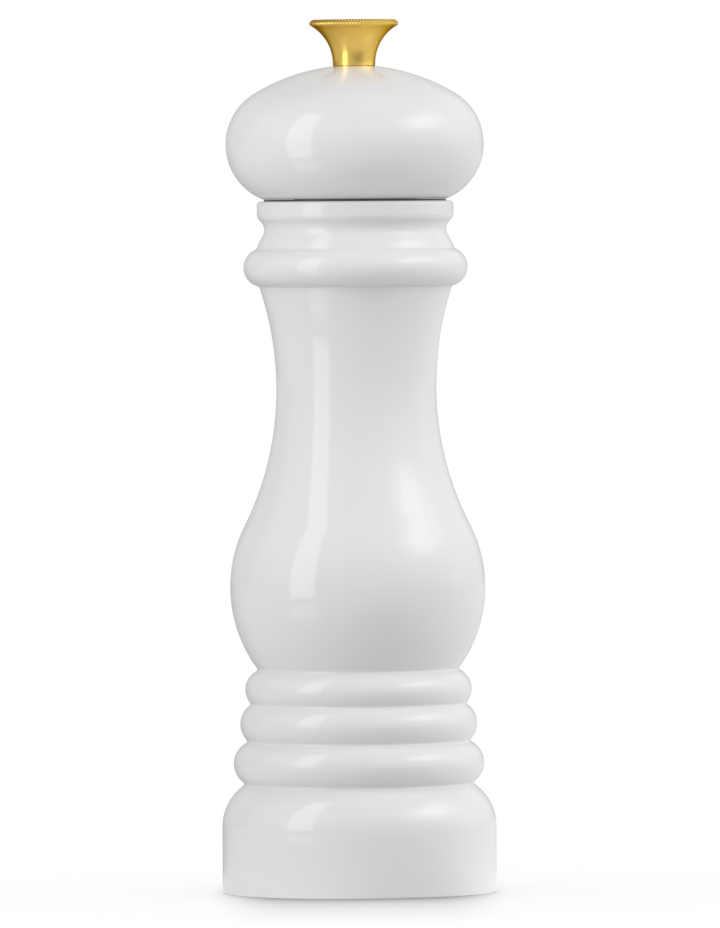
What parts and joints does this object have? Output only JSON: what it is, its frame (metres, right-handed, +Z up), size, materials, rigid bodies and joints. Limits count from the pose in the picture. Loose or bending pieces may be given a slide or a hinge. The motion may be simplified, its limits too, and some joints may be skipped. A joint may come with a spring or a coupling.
{
  "type": "pepper mill",
  "caption": "Turned pepper mill with a beaded base, round head and screw-down knob; the head turns a conical burr grinder.",
  "frame": {"origin": "centre of the foot, on the table", "axes": "+Z up along the spindle, from the foot to the knob"},
  "size_m": [0.066, 0.066, 0.21],
  "materials": {
    "abs_white": "gloss",
    "abs_natural": "matt",
    "nylon_black": "matt",
    "acetal_grey": "satin",
    "burr_ceramic": "fired, unglazed",
    "stainless": "drawn",
    "bronze": "sintered",
    "knob_brass": "satin"
  },
  "bodies": {
    "body": {"body_shell": "abs_white", "pepper_tube": "abs_natural", "base_plate": "abs_natural", "base_plate_screws": "stainless", "grinder_housing": "nylon_black", "housing_screws": "stainless", "burr_ring": "burr_ceramic", "bridge": "nylon_black", "bridge_bush": "bronze", "glide_ring": "acetal_grey"},
    "spring_seat": {"spring_washer": "stainless", "grinder_spring": "stainless"},
    "spindle": {"spindle": "stainless", "burr_cone": "burr_ceramic", "burr_hub": "nylon_black", "burr_washer": "stainless", "burr_nut": "stainless"},
    "head": {"head_shell": "abs_white", "head_core": "abs_natural", "drive_plate": "stainless", "drive_plate_screws": "stainless"},
    "knob_washer": {"knob_washer": "knob_brass"},
    "knob": {"knob": "knob_brass"}
  },
  "joints": [
    {"name": "head_turn", "type": "hinge", "parent": "body", "child": "spring_seat", "pos_m": [0, 0, 0.0292], "axis": [0, 0, 1], "continuous": true},
    {"name": "grind_adjust", "type": "slide", "parent": "spring_seat", "child": "spindle", "axis": [0, 0, 1], "range_m": [-0.0016, 0], "deforming": ["grinder_spring"]},
    {"name": "head_lift", "type": "slide", "parent": "spring_seat", "child": "head", "axis": [0, 0, 1], "range_m": [0, 0.06]},
    {"name": "knob_lift", "type": "slide", "parent": "head", "child": "knob_washer", "axis": [0, 0, 1], "range_m": [0, 0.02]},
    {"name": "knob_turn", "type": "hinge", "parent": "knob_washer", "child": "knob", "pos_m": [0, 0, 0.2], "axis": [0, 0, 1], "range_deg": [0, 720]}
  ],
  "couplings": [
    {"joint": "knob_turn", "follows": "grind_adjust", "rad_per_m": -7854}
  ]
}
